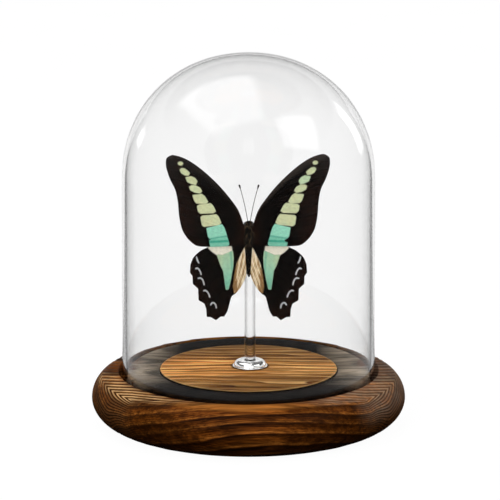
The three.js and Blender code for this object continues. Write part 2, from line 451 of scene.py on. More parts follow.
def stained_pine(wood):
    """Brushed and stained softwood: growth lines from the mesh's own ring count, each ring with its own
    tone and its line with its own strength, fibres along X, uneven stain, end grain that drank more of
    it, ridges rubbed pale towards the ends under a painted highlight, a painted grey reflection on the
    right end, a painted highlight along the lip and painted shade low on the nose and away from the
    middle of its faces."""
    finish = Finish("stained_pine")
    on_face = finish.math("SUBTRACT", 1.0, finish.mark("on_end"))
    wander = finish.span(finish.noise((18, 60, 60), detail=4), 0.2, 0.8, -0.3, 0.3)
    rings = finish.math("ADD", finish.mark("growth"), finish.times(wander, on_face))
    phase = finish.math("FRACT", rings)
    chance = finish.node("TexWhiteNoise", noise_dimensions="1D", i1=finish.math("FLOOR", rings))
    mid = wood.mid_wood
    warm = [0.6 * a + 0.4 * b for a, b in zip(mid, wood.pale_wood)]
    late = (0.75, toned(mid, 0.7)), (1.0, toned(mid, 0.5))
    finish.tint = finish.steps(phase, (0.0, mid), (0.12, warm), (0.4, mid), *late)
    finish.vary(1.0, chance, (0.0, 0.55), (1.0, 1.3))
    line = finish.steps(phase, (0.0, 0.7), (0.08, 0.0), (0.6, 0.0), (0.94, 0.9))
    firm = finish.span(finish.noise((30, 110, 110)), 0.38, 0.62, 0.1, 1.0)
    finish.paint(finish.times(line, firm), wood.dark_wood)
    fibres = finish.noise((60, 1500, 1500), detail=5, roughness=0.7)
    finish.vary(0.9, fibres, (0.36, 0.35), (0.62, 1.45))
    streaks = finish.noise((22, 520, 520), detail=4, roughness=0.6)
    finish.vary(0.9, streaks, (0.4, (0.38, 0.34, 0.3)), (0.6, 1.4))
    stain = finish.noise((20, 28, 40), detail=2)
    finish.vary(0.8, stain, (0.3, (0.55, 0.5, 0.46)), (0.7, 1.3))
    finish.paint(finish.mark("end_grain", 0.7), wood.end_wood)
    fine = finish.math("FRACT", finish.times(rings, FINE_LINES))
    patchy = finish.span(finish.noise((28, 130, 130)), 0.4, 0.6, 0.1, 0.9)
    gaps = finish.math("MAXIMUM", finish.mark("end_grain"), patchy)
    finish.vary(gaps, fine, (0.06, 1.0), (0.2, 0.3), (0.34, 0.36), (0.55, 1.0), (0.85, 1.2))
    ridge = finish.steps(fine, (0.4, 0.0), (0.62, 1.0), (0.78, 1.0), (1.0, 0.0))
    ridge = finish.times(ridge, finish.span(finish.noise((90, 90, 90)), 0.35, 0.6, 0.25, 1.0))
    # Ridges rubbed pale towards the ends, with a painted highlight on them.
    finish.paint(finish.times(ridge, finish.mark("rubbed")), wood.rubbed)
    firm_streaks = finish.span(streaks, 0.38, 0.6, 0.2, 1.0)
    # Painted highlight along the lip.
    finish.paint(finish.times(finish.mark("lip"), firm_streaks), wood.pale_wood)
    # Painted shade, low on the nose and away from the middle of the faces.
    finish.paint(finish.mark("painted_shade"), toned(mid, 0.12))
    # Painted grey reflection of a lamp on the right end's ridges.
    right_end_sheen = finish.times(finish.mark("right_end_sheen"), finish.math("MULTIPLY_ADD", ridge, 0.75, 0.25))
    finish.paint(right_end_sheen, wood.sheen_grey)
    relief = finish.math("ADD", finish.times(fibres, 0.7), finish.times(streaks, 0.5))
    finish.set(roughness=finish.span(fibres, 0.2, 0.8, 0.66, 0.42))
    finish.set(normal=finish.bump(relief, 0.25 * MM, 0.8), specular_ior_level=0.02)
    return finish.made(coat_weight=0.02, coat_roughness=0.25)


def golden_pine(wood):
    """Sanded softwood: growth lines along X at uneven spacing, broad dark streaks, painted light towards
    the left, painted shade towards the front and back edges, a pale turned edge and a painted contact
    shadow round the foot."""
    finish = Finish("golden_pine")
    line_gap = 5.2 * MM
    backwards = finish.along("Y")
    bow = finish.span(finish.noise((9, 34, 34)), 0.2, 0.8, -1.8, 1.8)
    phase = finish.math("FRACT", finish.math("MULTIPLY_ADD", backwards, 1 / line_gap, bow))
    pale, mid = wood.golden_pale, wood.golden_mid
    late = (0.8, toned(mid, 0.6)), (0.95, wood.golden_dark)
    finish.tint = finish.steps(phase, (0.0, pale), (0.45, mid), *late, (1.0, pale))
    streaks = finish.noise((18, 380, 380), detail=4, roughness=0.6)
    finish.vary(0.9, streaks, (0.4, (0.46, 0.37, 0.27)), (0.58, 1.3))
    fibres = finish.noise((70, 1700, 1700), detail=5, roughness=0.7)
    finish.vary(0.8, fibres, (0.38, 0.5), (0.62, 1.35))
    stain = finish.noise((26, 50, 50))
    finish.vary(0.85, stain, (0.36, (0.7, 0.6, 0.5)), (0.6, 1.3))
    # Painted light and shade: paler towards the left, darker towards the front and back edges.
    shade_off_middle = finish.span(finish.math("ABSOLUTE", backwards), 8 * MM, 28 * MM)
    to_left = finish.span(finish.along("X"), 14 * MM, -16 * MM, 0.1, 0.8)
    painted_light_left = finish.math("MAXIMUM", finish.math("SUBTRACT", to_left, shade_off_middle), 0.0)
    finish.paint(painted_light_left, (1.9, 1.8, 1.7), "MULTIPLY")
    finish.paint(shade_off_middle, (0.6, 0.58, 0.56), "MULTIPLY")
    rim = finish.span(finish.mark("from_axis"), DISC_RADIUS - 1.0 * MM, DISC_RADIUS - 0.6 * MM)
    finish.paint(finish.times(rim, 0.35), pale)
    finish.paint(finish.mark("side"), wood.black_stain)
    # Painted contact shadow round the foot, in the black stain's colour.
    foot_centre = (float(ROD_CENTRE[0]), float(ROD_CENTRE[1]), DISC_TOP)
    from_foot = finish.node("VectorMath", "Value", operation="DISTANCE", i0=finish.place(), i1=foot_centre)
    foot_shadow = finish.span(from_foot, FOOT_RADIUS + 1.1 * MM, FOOT_RADIUS + 0.3 * MM, 0.0, 0.85)
    finish.paint(foot_shadow, wood.black_stain)
    finish.set(roughness=finish.span(fibres, 0.2, 0.8, 0.62, 0.45))
    return finish.made(normal=finish.bump(fibres, 0.12 * MM, 0.6), specular_ior_level=0.02)


def black_wood(wood):
    """Black-stained wood with its fibres just showing and brown rubbed patches, a painted pale reflection
    towards the back at both sides, and brown near its outer edge at both sides.
    """
    finish = Finish("black_stain", wood.black_stain)
    fibres = finish.noise((60, 1400, 1400), detail=4, roughness=0.65)
    rubbed = finish.span(finish.noise((40, 90, 90)), 0.45, 0.75, 0, 0.7)
    brown = [c * k for c, k in zip(wood.black_stain, (2.6, 1.9, 1.5))]
    finish.paint(rubbed, brown)
    sideways = finish.math("ABSOLUTE", finish.along("X"))
    backwards = finish.span(finish.along("Y"), -30 * MM, -4 * MM)
    # Painted reflection of the bright surroundings behind: pale towards the back at both sides. Brown near
    # the outer edge at both sides.
    sheen_at_sides = finish.times(finish.span(sideways, 27 * MM, 41 * MM), backwards)
    breakup = finish.noise((34, 100, 100), detail=4, distortion=1.0)
    finish.paint(finish.times(sheen_at_sides, finish.span(breakup, 0.4, 0.6, 0.2, 1.0)), wood.ring_sheen)
    outside = finish.times(finish.span(sideways, 42 * MM, 46 * MM), finish.span(breakup, 0.5, 0.4))
    finish.paint(finish.times(outside, 0.8), wood.mid_wood)
    finish.vary(0.6, fibres, (0.3, 0.6), (0.7, 1.3))
    finish.set(roughness=finish.span(fibres, 0.2, 0.8, 0.62, 0.48))
    return finish.made(normal=finish.bump(fibres, 0.08 * MM, 0.5), specular_ior_level=0.02)


def clear_glass(name, glass, dark_share):
    """Clear glass with the faint unevenness of blown work. Where it turns away from the eye a share of
    it is painted dark, a painted shade for the dark edge of the glass: the share is dark_share(finish)."""
    finish = Finish(name)
    finish.set(base_color=glass.tint, roughness=0.0, ior=glass.ior, transmission_weight=1.0)
    finish.set(normal=finish.bump(finish.noise((30, 30, 18), detail=1), 0.12 * MM, 0.25))
    # Painted dark: a black diffuse share mixed into the glass.
    painted_dark = finish.node("BsdfDiffuse", i0=0)
    mixed = finish.node("MixShader", i0=dark_share(finish), i1=finish.shader.outputs[0], i2=painted_dark)
    finish.put(finish.surface, mixed)
    return finish


def wall_edge(finish):
    """A thin painted dark line where the dome's inner wall turns out of sight, standing in for the dark
    edge where light inside the glass meets it near the angle past which none gets out. Only hits from
    within the glass count."""
    near = finish.span(finish.node("LayerWeight", "Facing", i0=0.5), 0.21, 0.29)
    rising = (0.08, 0.0), (0.36, 0.1), (0.5, 0.22), (0.59, 0.55)
    line = finish.steps(near, *rising, (0.62, 0.5), (0.68, 0.12), (0.82, 0.0))
    from_within = finish.node("NewGeometry", "Backfacing")
    return finish.times(finish.times(line, from_within), finish.mark("inner_wall"))


def rod_edge(finish):
    """Two soft painted dark lines down the sides of a solid rod, a painted shade for its edges, for hits
    from outside.
    """
    facing = finish.node("LayerWeight", "Facing", i0=0.5)
    line = finish.steps(facing, (0.08, 0.0), (0.25, 0.3), (0.5, 0.42), (0.8, 0.1))
    return finish.times(line, finish.math("SUBTRACT", 1.0, finish.node("NewGeometry", "Backfacing")))


def polished_metal(glass):
    """Polished metal with fine turning marks and a little tarnish."""
    finish = Finish("polished_metal", glass.metal)
    tarnish = finish.noise((350, 350, 350))
    finish.paint(finish.span(tarnish, 0.45, 0.75), toned(glass.metal, 0.78))
    finish.set(metallic=1.0, roughness=finish.span(tarnish, 0.3, 0.8, 0.07, 0.2))
    return finish.made(normal=finish.bump(finish.noise((500, 500, 5000), detail=2), 0.02 * MM, 0.3))


def wing_scales(butterfly):
    """Scaled wing membrane, coloured by the marks that the mesh carries: cells, crescents, fold, veins."""
    finish = Finish("wing_scales", butterfly.wing_dark)
    dusting = finish.noise((900, 900, 900), detail=4, roughness=0.7)
    drift = finish.noise((110, 110, 110))
    under = finish.mark("under")
    warm = butterfly.wing_warm
    finish.paint(finish.mark("margin", 0.9), warm)
    finish.paint(finish.span(drift, 0.5, 0.85, 0, 0.5), warm)
    finish.paint(finish.times(under, 0.8), toned(warm, 1.9, 0.02))
    # Painted grey sheen along the forewing's front edge.
    finish.paint(finish.mark("costa", 0.55), butterfly.costa_sheen)
    finish.paint(finish.mark("vein", 0.6), (0.004, 0.003, 0.002))
    cloud = finish.span(finish.noise((260, 260, 260)), 0.35, 0.7, 0, 0.15)
    finish.paint(finish.mark("pale"), finish.blend(cloud, butterfly.pale_spot, butterfly.turquoise))
    for cells in ("turquoise", "teal", "cream"):
        finish.paint(finish.mark(cells), getattr(butterfly, cells))
    ruffled = finish.span(finish.noise((900, 900, 240)), 0.3, 0.7, -0.4, 0.4)
    ruffled = finish.math("ADD", finish.mark("streak"), ruffled)
    tan = (0.0, (0.38, 0.25, 0.14)), (0.42, (0.84, 0.72, 0.54)), (0.9, (1.15, 1.2, 1.25))
    folded = finish.blend(1.0, butterfly.fold, finish.steps(ruffled, *tan), "MULTIPLY")
    finish.paint(finish.mark("fold"), folded)
    finish.paint(finish.mark("lunule"), butterfly.lunule)
    finish.paint(finish.times(finish.mark("red"), under), butterfly.red_spot)
    finish.vary(0.55, dusting, (0.3, 0.72), (0.7, 1.18))
    finish.set(roughness=finish.span(drift, 0.3, 0.7, 0.72, 0.5))
    return finish.made(normal=finish.bump(dusting, 0.05 * MM, 0.5), specular_ior_level=0.03)


def dark_fur(butterfly):
    """Dark fur in slightly warmer patches, with pale tips where the mesh says so."""
    finish = Finish("body_fur", butterfly.fur)
    patches = finish.noise((500, 500, 900))
    finish.paint(finish.span(patches, 0.4, 0.8, 0, 0.8), toned(butterfly.fur, 2.6, 0.004))
    finish.paint(finish.mark("tip"), butterfly.fur_tips)
    finish.set(roughness=finish.span(patches, 0.2, 0.8, 0.8, 0.6))
    return finish.made(normal=finish.bump(patches, 0.06 * MM, 0.6), specular_ior_level=0.06)


def dark_horn(name="antenna_horn", shine=0.3):
    """Horny dark brown of antennae, legs and eyes."""
    finish = Finish(name)
    bands = finish.noise((900, 900, 2600), detail=2)
    finish.tint = finish.steps(bands, (0.35, srgb(22, 17, 14)), (0.7, srgb(66, 56, 48)))
    finish.set(roughness=finish.span(bands, 0, 1, shine, shine + 0.2))
    return finish.made(normal=finish.bump(bands, 0.03 * MM, 0.5))


# ------------------------------------------------------------------ base, ring and disc

# Steps round each turned piece.
BASE_STEPS, RING_STEPS, DOME_STEPS, ROD_STEPS, FOOT_STEPS = 600, 256, 224, 72, 120

RECESS_RADIUS = DOME_RADIUS + 1.3 * MM
LIP_ROUND = 0.6 * MM
REACH_BELOW = 14 * MM

# Growth layers, by angles: CORNER round the axis from the front, CREASE up the nose.
CORNER, CREASE = radians(52), radians(50)
CREASE_RADIUS = BASE_RADIUS - NOSE + NOSE * cos(CREASE)
LINE_SLOPE, LINE_BOW = radians(19.6), radians(74.7)
END_DIP, END_PITCH = 1.0, 0.6
END_START, END_TURN = radians(42), radians(14)
LEAN = 3.8
FIRST_LINE = 0.33
FINE_LINES = 5


def lengthways(points, lift):
    """Angle round the axis from the front, half a turn at the back. Above the crease it is the crease's
    own angle on the same growth layer, arccos(distance to the front / crease radius), so that whatever
    follows it runs along X over the top and climbs one part for LEAN parts to the front."""
    around = np.arctan2(np.abs(points[..., 0]), -points[..., 1])
    risen = points[..., 2] - NOSE - NOSE * sin(CREASE)
    over_top = np.arccos(np.clip((-points[..., 1] - LEAN * risen) / CREASE_RADIUS, -1, 1))
    return np.where(lift > CREASE, over_top, around)


def growth(points, lift, ring_width):
    """Growth layers as a running count over the round nose, from the angle `lift` at which each point
    stands on it. On the front and back the layers crop out along lift = b0 + slope u - bow v^2, with u
    the sideways share of the radius and v the sine of the angle from the nearer of the two. Past the
    corners they lie END_PITCH as dense and climb the end grain by END_DIP. Above the crease each runs
    on from the place where it crosses it."""
    turn = lengthways(points, lift)
    nearer = np.minimum(turn, pi - turn)
    v = np.sin(np.minimum(nearer, CORNER))
    past = np.clip(turn, CORNER, pi - CORNER) - CORNER
    radius = np.maximum(np.hypot(points[..., 0], points[..., 1]), MM)
    radius = np.where(lift > CREASE, CREASE_RADIUS, radius)
    u = np.clip(points[..., 0] / radius, -sin(CORNER), sin(CORNER))
    line = LINE_SLOPE * u - LINE_BOW * v**2 + END_DIP * past
    below = np.where(lift < 0, 0.8 * lift, lift)
    drop = np.minimum(below, CREASE) - CREASE
    drop = drop * (1 - (1 - END_PITCH) * smoothstep(CORNER, CORNER + END_TURN, nearer))
    on_front = between(58, 44, nearer) * smoothstep(CREASE * 1.2, CREASE * 0.8, lift)
    wavy = 0.05 * ripples(points, 50 * MM, 3) + on_front * (0.13 * ripples(points, 30 * MM, 4))
    return (CREASE + drop - line) / (ring_width / NOSE) - FIRST_LINE + wavy


def base_profile():
    """Flat underside, full round nose, rounded lip, recess wall and recess floor, as (radius, height)."""
    lip = (RECESS_RADIUS + LIP_ROUND, BASE_TOP - LIP_ROUND)
    flat = BASE_RADIUS - REACH_BELOW
    underside = np.stack([np.linspace(0, flat, 5), np.zeros(5)], axis=1)
    below = arc((0, 0), 1, -90, 0, 46) * [REACH_BELOW, NOSE] + [flat, NOSE]
    above = arc((BASE_RADIUS - NOSE, NOSE), NOSE, 0, 87, 96)
    nose = np.vstack([below, above[1:]])
    rounded = arc(lip, LIP_ROUND, 100, 180, 7)
    floor = [[RECESS_RADIUS, RECESS_FLOOR], [DISC_RADIUS, RECESS_FLOOR], [0, RECESS_FLOOR]]
    return np.vstack([underside, nose[1:], rounded, floor])


def brushing(count, end_share):
    """How far the soft wood is brushed back, from 0 to 1: between the growth lines on the faces, and
    between the fine lines on the end grain."""
    coarse, fine = count % 1, (FINE_LINES * count) % 1
    on_face = 1 - smoothstep(0.45, 0.9, coarse) + smoothstep(0.97, 1.0, coarse)
    on_end = 1 - smoothstep(0.3, 0.6, fine) + smoothstep(0.8, 1.0, fine)
    return (1 - end_share) * on_face + end_share * on_end


def wood_marks(x, side, turn, lift, count, end_share):
    """What the base's mesh tells its material: the growth count, and from 0 to 1 how much each point is
    on an end, end grain, rubbed pale under a painted highlight, in painted shade, under the painted grey
    reflection of the right end and under the painted highlight at the lip."""
    # The painted highlight on the rubbed ridges is strongest on the left end and near the top edge, where the
    # light falls.
    sides = 1 - 0.55 * smoothstep(-12 * MM, 12 * MM, x)
    near_crease = between(34, 50, lift) * between(100, 62, lift)
    near_corner = between(100, 84, turn) * between(34, 58, turn)
    # Painted shade: darker low on the nose and away from the middle of the faces.
    low_down = 0.14 * between(40, -20, lift) + 0.4 * between(-25, -60, lift)
    shade_off_middle = 0.6 * smoothstep(8 * MM, 32 * MM, np.abs(x + 4 * MM)) * (1 - end_share)
    return {
        "growth": count,
        "on_end": end_share,
        "end_grain": end_share * (0.3 + 0.7 * side),
        "rubbed": end_share * sides * (0.06 + 0.94 * near_crease) * near_corner,
        "painted_shade": np.maximum(low_down, shade_off_middle),
        # Painted grey reflection of a lamp on the right end's ridges.
        "right_end_sheen": 0.45 * end_share * smoothstep(16 * MM, 36 * MM, x) * between(-20, 30, lift),
        # Painted highlight along the rounded lip.
        "lip": 0.7 * between(56, 68, lift) * (1 - end_share),
    }


class DOME_OT_wood_base(bpy.types.Operator):
    """Turned softwood base with a full round nose, its soft wood brushed back between the growth lines"""

    bl_idname = "insect_dome.wood_base"
    bl_label = "Wooden base"

    def execute(self, context):
        wood = context.scene.dome_wood
        points = turned(base_profile(), BASE_STEPS)
        x, y, height = np.moveaxis(points, -1, 0)
        radius = np.hypot(x, y)
        divisor = np.maximum(radius, MM)
        outward = np.stack([x / divisor, y / divisor, np.zeros_like(x)], axis=-1)
        side = np.clip((radius - BASE_RADIUS + NOSE) / NOSE, 0, 1)
        rise = (height - NOSE) / NOSE
        normal = side[..., None] * outward + rise[..., None] * np.array([0, 0, 1.0])
        reach = np.where(height > NOSE, NOSE, REACH_BELOW)
        lift = np.arctan2(rise, (radius - BASE_RADIUS + reach) / reach)
        count = growth(points, lift, wood.ring_width)
        turn = lengthways(points, lift)
        nearer = np.minimum(turn, pi - turn)
        start = END_START - radians(5) * smoothstep(CREASE, CREASE + radians(5), lift)
        end_share = smoothstep(start, start + END_TURN, nearer)

        on_nose = smoothstep(0, 2 * MM, height) * smoothstep(RECESS_RADIUS, DOME_RADIUS + 3 * MM, radius)
        depth = brushing(count, end_share) * on_nose * wood.relief
        points = points - normal * depth[..., None]
        marks = wood_marks(points[..., 0], side, turn, lift, count, end_share)
        round_piece("wood_base_turned", points, stained_pine(wood), marks, ["wood_base"])
        return {"FINISHED"}


def flat_ring_profile(inner, outer, top, rounding):
    """A flat ring standing on the recess floor, with rounded upper edges, as (radius, height)."""
    return np.vstack(
        [
            [[inner, RECESS_FLOOR], [outer, RECESS_FLOOR]],
            arc((outer - rounding, top - rounding), rounding, 0, 90, 7),
            arc((inner + rounding / 2, top - rounding / 2), rounding / 2, 90, 180, 5),
        ]
    )


class DOME_OT_ring_and_disc(bpy.types.Operator):
    """Black-stained ring in the recess and the golden softwood disc inside it"""

    bl_idname = "insect_dome.ring_and_disc"
    bl_label = "Black ring and centre disc"

    def execute(self, context):
        wood = context.scene.dome_wood
        gap, edge = 0.3 * MM, 0.8 * MM
        profile = flat_ring_profile(DISC_RADIUS + gap, RING_RADIUS, RING_TOP, edge)
        ring, stain = turned(profile, RING_STEPS), black_wood(wood)
        round_piece("black_ring_turned", ring, stain, {}, ["black_ring"], True)

        bevel = 0.5 * MM
        rim = arc((DISC_RADIUS - bevel, DISC_TOP - bevel), bevel, 0, 90, 7)
        below = [[0, RECESS_FLOOR], [DISC_RADIUS, RECESS_FLOOR]]
        face = [[DISC_RADIUS / 2, DISC_TOP], [0, DISC_TOP]]
        disc = turned(np.vstack([below, rim, face]), RING_STEPS)
        marks = {
            "from_axis": np.hypot(disc[..., 0], disc[..., 1]),
            "side": smoothstep(DISC_TOP - 0.12 * MM, DISC_TOP - 0.3 * MM, disc[..., 2]),
        }
        round_piece("centre_disc_turned", disc, golden_pine(wood), marks, ["centre_disc"])
        return {"FINISHED"}


# ------------------------------------------------------------------ glass dome, rod and foot


def crown(radius, rise, power, count):
    """From the shoulder to the top of (r / radius)^n + (h / rise)^n = 1, as (radius, height)."""
    turn = np.linspace(0, pi / 2, count)
    across = radius * np.cos(turn) ** (2 / power)
    across[-1] = 0
    return np.stack([across, DOME_TOP - DOME_RADIUS + rise * np.sin(turn) ** (2 / power)], axis=1)


class DOME_OT_glass_dome(bpy.types.Operator):
    """Blown glass dome: straight wall, crown a little fuller than a hemisphere, rounded open rim"""

    bl_idname = "insect_dome.glass_dome"
    bl_label = "Glass dome"

    def execute(self, context):
        glass = context.scene.dome_glass
        inner = DOME_RADIUS - glass.wall
        half = glass.wall / 2
        wall = np.linspace(RECESS_FLOOR + half, DOME_TOP - DOME_RADIUS, 16)[1:-1]
        profile = np.vstack(
            [
                crown(inner, DOME_RADIUS - glass.crown_wall, glass.crown_power, 60)[::-1],
                np.stack([np.full(len(wall), inner), wall[::-1]], axis=1),
                arc((DOME_RADIUS - half, RECESS_FLOOR + half), half, 180, 360, 9),
                np.stack([np.full(len(wall), DOME_RADIUS), wall], axis=1),
                crown(DOME_RADIUS, DOME_RADIUS, glass.crown_power, 60),
            ]
        )
        points = turned(profile, DOME_STEPS)
        outside = np.arange(len(profile)) > len(profile) // 2
        thinning = 0.75 * smoothstep(DOME_TOP - DOME_RADIUS, DOME_TOP - 25 * MM, profile[:, 1])
        marks = {
            "inner_wall": np.broadcast_to(np.where(outside, 0.0, 1 - thinning), points.shape[:2]),
            "outside": np.broadcast_to(outside, points.shape[:2]),
        }
        finish = clear_glass("dome_glass", glass, wall_edge)
        inner_gloss, outer_gloss = 0.06, 1.0
        finish.set(specular_tint=finish.blend(finish.mark("outside"), inner_gloss, outer_gloss))
        round_piece("glass_dome_blown", points, finish.material, marks, ["glass_dome"])
        return {"FINISHED"}


class DOME_OT_rod_and_foot(bpy.types.Operator):
    """Solid clear rod and the low polished metal boss round its lower end"""

    bl_idname = "insect_dome.rod_and_foot"
    bl_label = "Rod and foot"

    def execute(self, context):
        glass = context.scene.dome_glass
        centre = ROD_CENTRE[:2]
        edge = 0.4 * MM
        stem = np.linspace(DISC_TOP + edge, ROD_TOP - edge, 40)[1:-1]
        profile = np.vstack(
            [
                [[0, DISC_TOP]],
                arc((ROD_RADIUS - edge, DISC_TOP + edge), edge, -90, 0, 5),
                np.stack([np.full(len(stem), ROD_RADIUS), stem], axis=1),
                arc((ROD_RADIUS - edge, ROD_TOP - edge), edge, 0, 90, 5),
                [[0, ROD_TOP]],
            ]
        )
        rod = turned(profile, ROD_STEPS, centre)
        rod_glass = clear_glass("rod_glass", glass, rod_edge).material
        round_piece("glass_rod_clear", rod, rod_glass, {}, ["glass_rod"])

        hole = ROD_RADIUS + 0.08 * MM
        bottom, flange, shoulder, lip = 0.15 * MM, 0.5 * MM, 4.3 * MM, 0.2 * MM
        flank = arc((0, 0), 1, 0, 90, 20) * [FOOT_RADIUS - flange - shoulder, FOOT_TOP - DISC_TOP - flange]
        profile = np.vstack(
            [
                [[hole, DISC_TOP], [FOOT_RADIUS - bottom, DISC_TOP]],
                arc((FOOT_RADIUS - flange / 2, DISC_TOP + flange / 2), flange / 2, -60, 90, 9),
                flank + [shoulder, DISC_TOP + flange],
                arc((hole + lip, FOOT_TOP - lip), lip, 90, 180, 5),
            ]
        )
        foot, metal = turned(profile, FOOT_STEPS, centre), polished_metal(glass)
        round_piece("rod_foot_polished", foot, metal, {}, ["rod_foot"], True)
        return {"FINISHED"}


# ------------------------------------------------------------------ wings

# Outlines in millimetres: distance out from the dome's axis, then height above the table.
FORE_LEAD = [
    [1.6, 81.2], [3.9, 87.7], [7.5, 93], [11.9, 98.2], [16.7, 102.8], [21.3, 106.4], [25.5, 108.8],
    [29.4, 109.9], [31.0, 109.6],
]
FORE_OUTER = [
    [31.0, 109.6], [32.2, 108.6], [32.5, 107.2], [32.3, 104.6], [30.9, 100.2], [28.8, 95.7], [27.8, 90.7],
    [27.3, 85.3], [26.2, 80.1], [24.2, 76.5], [22.2, 74.4],
]
FORE_TRAIL = [[1.8, 74.3], [4.5, 73.6], [7.3, 73.4], [12.5, 73.2], [17.8, 73.1], [20.4, 73.4], [22.2, 74.4]]
FORE_ROOT = [[1.6, 81.2], [1.0, 77.6], [1.8, 74.3]]
HIND_LEAD = [[1.6, 75.4], [9, 75.9], [13.2, 74.8], [15.9, 72.8], [18.9, 71.2], [21.6, 68.6], [22.9, 65.6]]
HIND_OUTER = [
    [22.9, 65.6], [23.1, 62.3], [22.1, 60.8], [22, 57.7], [19.9, 55.7], [19.7, 51], [17.4, 49.6],
    [16.7, 47.4], [16.5, 44.2], [15, 44.1], [12.8, 42.8], [11, 44.3], [9.6, 44.3],
]
HIND_INNER = [
    [1.5, 73.0], [1.3, 70.5], [1.0, 66], [0.9, 61.8], [1.5, 59.6], [3.0, 56.6], [5.1, 53.8], [6.1, 53.1],
    [6.9, 51.9], [8.2, 46.9], [9.6, 44.3],
]
HIND_ROOT = [[1.6, 75.4], [1.4, 74.2], [1.5, 73.0]]

# Cells of the forewing band, from the tip inwards, then the two cells at its foot.
PALE_CELLS = [
    [[27.9, 106.6], [27.4, 107.2], [26.3, 107.3], [25.6, 106.6], [26.1, 105.9], [27.3, 106.0]],
    [
        [27.1, 104.1], [26.6, 104.7], [25.3, 104.6], [24.0, 103.7],
        [23.0, 102.7], [23.4, 101.8], [24.9, 101.9], [26.4, 102.8],
    ],
    [[24.9, 101.1], [22.6, 101.5], [21.0, 100.7], [20.1, 99.4], [20.6, 98.1], [22.4, 98.5], [24.1, 99.3]],
    [
        [23.4, 97.3], [22.6, 97.8], [21.0, 97.8], [19.1, 96.9],
        [18.2, 95.5], [18.8, 94.7], [21.1, 95.1], [23.0, 96.1],
    ],
    [[22.1, 93.9], [18.4, 94.4], [17.2, 93.5], [15.9, 91.2], [16.5, 90.6], [20.5, 90.7], [21.3, 91.6]],
    [
        [20.3, 89.5], [19.6, 90.0], [14.8, 90.6], [13.8, 89.6],
        [12.8, 87.6], [13.5, 87.0], [19.1, 86.7], [19.9, 87.5],
    ],
    [
        [18.9, 85.1], [18.4, 85.6], [12.5, 86.3], [11.6, 85.2],
        [10.7, 82.9], [11.4, 82.2], [17.7, 81.4], [18.4, 82.0],
    ],
]
TURQUOISE_CELL = [
    [16.6, 80.7], [10.4, 82.3], [9.5, 80.9], [8.5, 77.7], [9.1, 77.4], [15.3, 76.4], [16.0, 77.2],
]
TEAL_CELL = [
    [15.4, 75.6], [14.8, 76.0], [8.4, 77.2], [8.0, 75.9], [7.6, 74.2], [8.1, 73.2], [14.9, 72.6],
    [15.3, 74.4],
]
CREAM_PATCH = [
    [15.9, 74.5], [6.8, 75.0], [6.3, 71.2], [8.1, 70.2], [10.2, 69.2], [12.3, 69.5], [14.2, 70.8],
    [15.9, 72.4],
]
WEDGE = [
    [12.3, 69.7], [10.2, 69.6], [6.3, 71.4], [6.0, 68.5], [6.2, 65.0], [7.2, 59.2], [8.1, 55.3],
    [8.6, 55.2], [9.3, 60.0], [9.7, 63.2], [10.7, 65.0], [11.7, 67.9],
]
INNER_FOLD = [
    [0.6, 73.5], [0.4, 68.5], [0.4, 61.2], [1.2, 59.5], [2.7, 57.0], [4.6, 54.4], [5.6, 53.8],
    [6.0, 56.3], [5.5, 61.0], [4.6, 65.8], [2.9, 69.6], [1.6, 72.4],
]
LUNULES = [
    [[20.5, 68.6], [20.2, 67.4], [19.6, 66.3]],
    [[20.8, 63.9], [20.2, 64.2], [19.5, 63.6], [18.9, 62.5], [18.7, 61.6]],
    [[19.8, 60.0], [19.0, 60.2], [18.2, 59.6], [17.7, 58.4], [17.5, 57.4]],
    [[17.7, 54.9], [17.0, 55.1], [16.2, 54.5], [15.6, 53.4], [15.3, 52.4]],
    [[14.9, 49.2], [14.4, 50.0], [13.6, 50.0], [12.9, 49.1], [12.7, 47.9]],
]
RED_MARKS = [
    [[12.6, 66.8], [11.9, 65.4]],
    [[13.6, 61.5], [12.2, 60.6]],
    [[12.9, 57.2], [11.6, 56.6]],
    [[11.8, 53.2], [10.7, 52.9]],
]
NOTCH = [[15.6, 76.3], [14.0, 75.7], [14.6, 74.9], [15.6, 74.8]]
FORE_VEINS = [0.0, 0.09, 0.17, 0.26, 0.35, 0.45, 0.55, 0.65, 0.75, 0.86, 1.0]
HIND_VEINS = [0.0, 0.13, 0.27, 0.4, 0.53, 0.66, 0.78, 1.0]
RIGHT_WING_RAISE = radians(0.9)
WING_HINGE = np.array([3.0, 78.0]) * MM


def patch(lead, trail, root, outer):
    """Coons patch between four edges: (1 - v) lead(u) + v trail(u) + (1 - u) root(v) + u outer(v), less
    the bilinear patch of the four corners."""
    u = np.linspace(0, 1, len(lead))[:, None, None]
    v = np.linspace(0, 1, len(root))[None, :, None]
    ruled = (1 - v) * lead[:, None] + v * trail[:, None] + (1 - u) * root[None] + u * outer[None]
    start = (1 - v) * lead[0] + v * trail[0]
    end = (1 - v) * lead[-1] + v * trail[-1]
    return ruled - (1 - u) * start - u * end


def edge_line(points, count, rounded=True):
    """An outline's stretch in metres, as a smooth curve or as straight runs with softened corners."""
    line = np.array(points) * MM
    if rounded:
        return evened(spline(line, 30 * len(line)), count)
    straight = evened(line, 12 * count)
    kernel = np.hanning(17)[1:-1] / np.hanning(17)[1:-1].sum()
    reach = len(kernel) // 2
    padded = np.vstack([straight[:1]] * reach + [straight] + [straight[-1:]] * reach)
    soft = np.stack([np.convolve(column, kernel, "valid") for column in padded.T], axis=1)
    return evened(soft, count)


def distance_to_line(line, x, z):
    """Distance from each (x, z) to the nearest point of a run of straight pieces."""
    nearest = np.full(x.shape, np.inf)
    for (ax, az), (bx, bz) in zip(line[:-1], line[1:]):
        run = (bx - ax) ** 2 + (bz - az) ** 2
        t = np.clip(((x - ax) * (bx - ax) + (z - az) * (bz - az)) / run, 0, 1)
        nearest = np.minimum(nearest, np.hypot(x - ax - t * (bx - ax), z - az - t * (bz - az)))
    return nearest


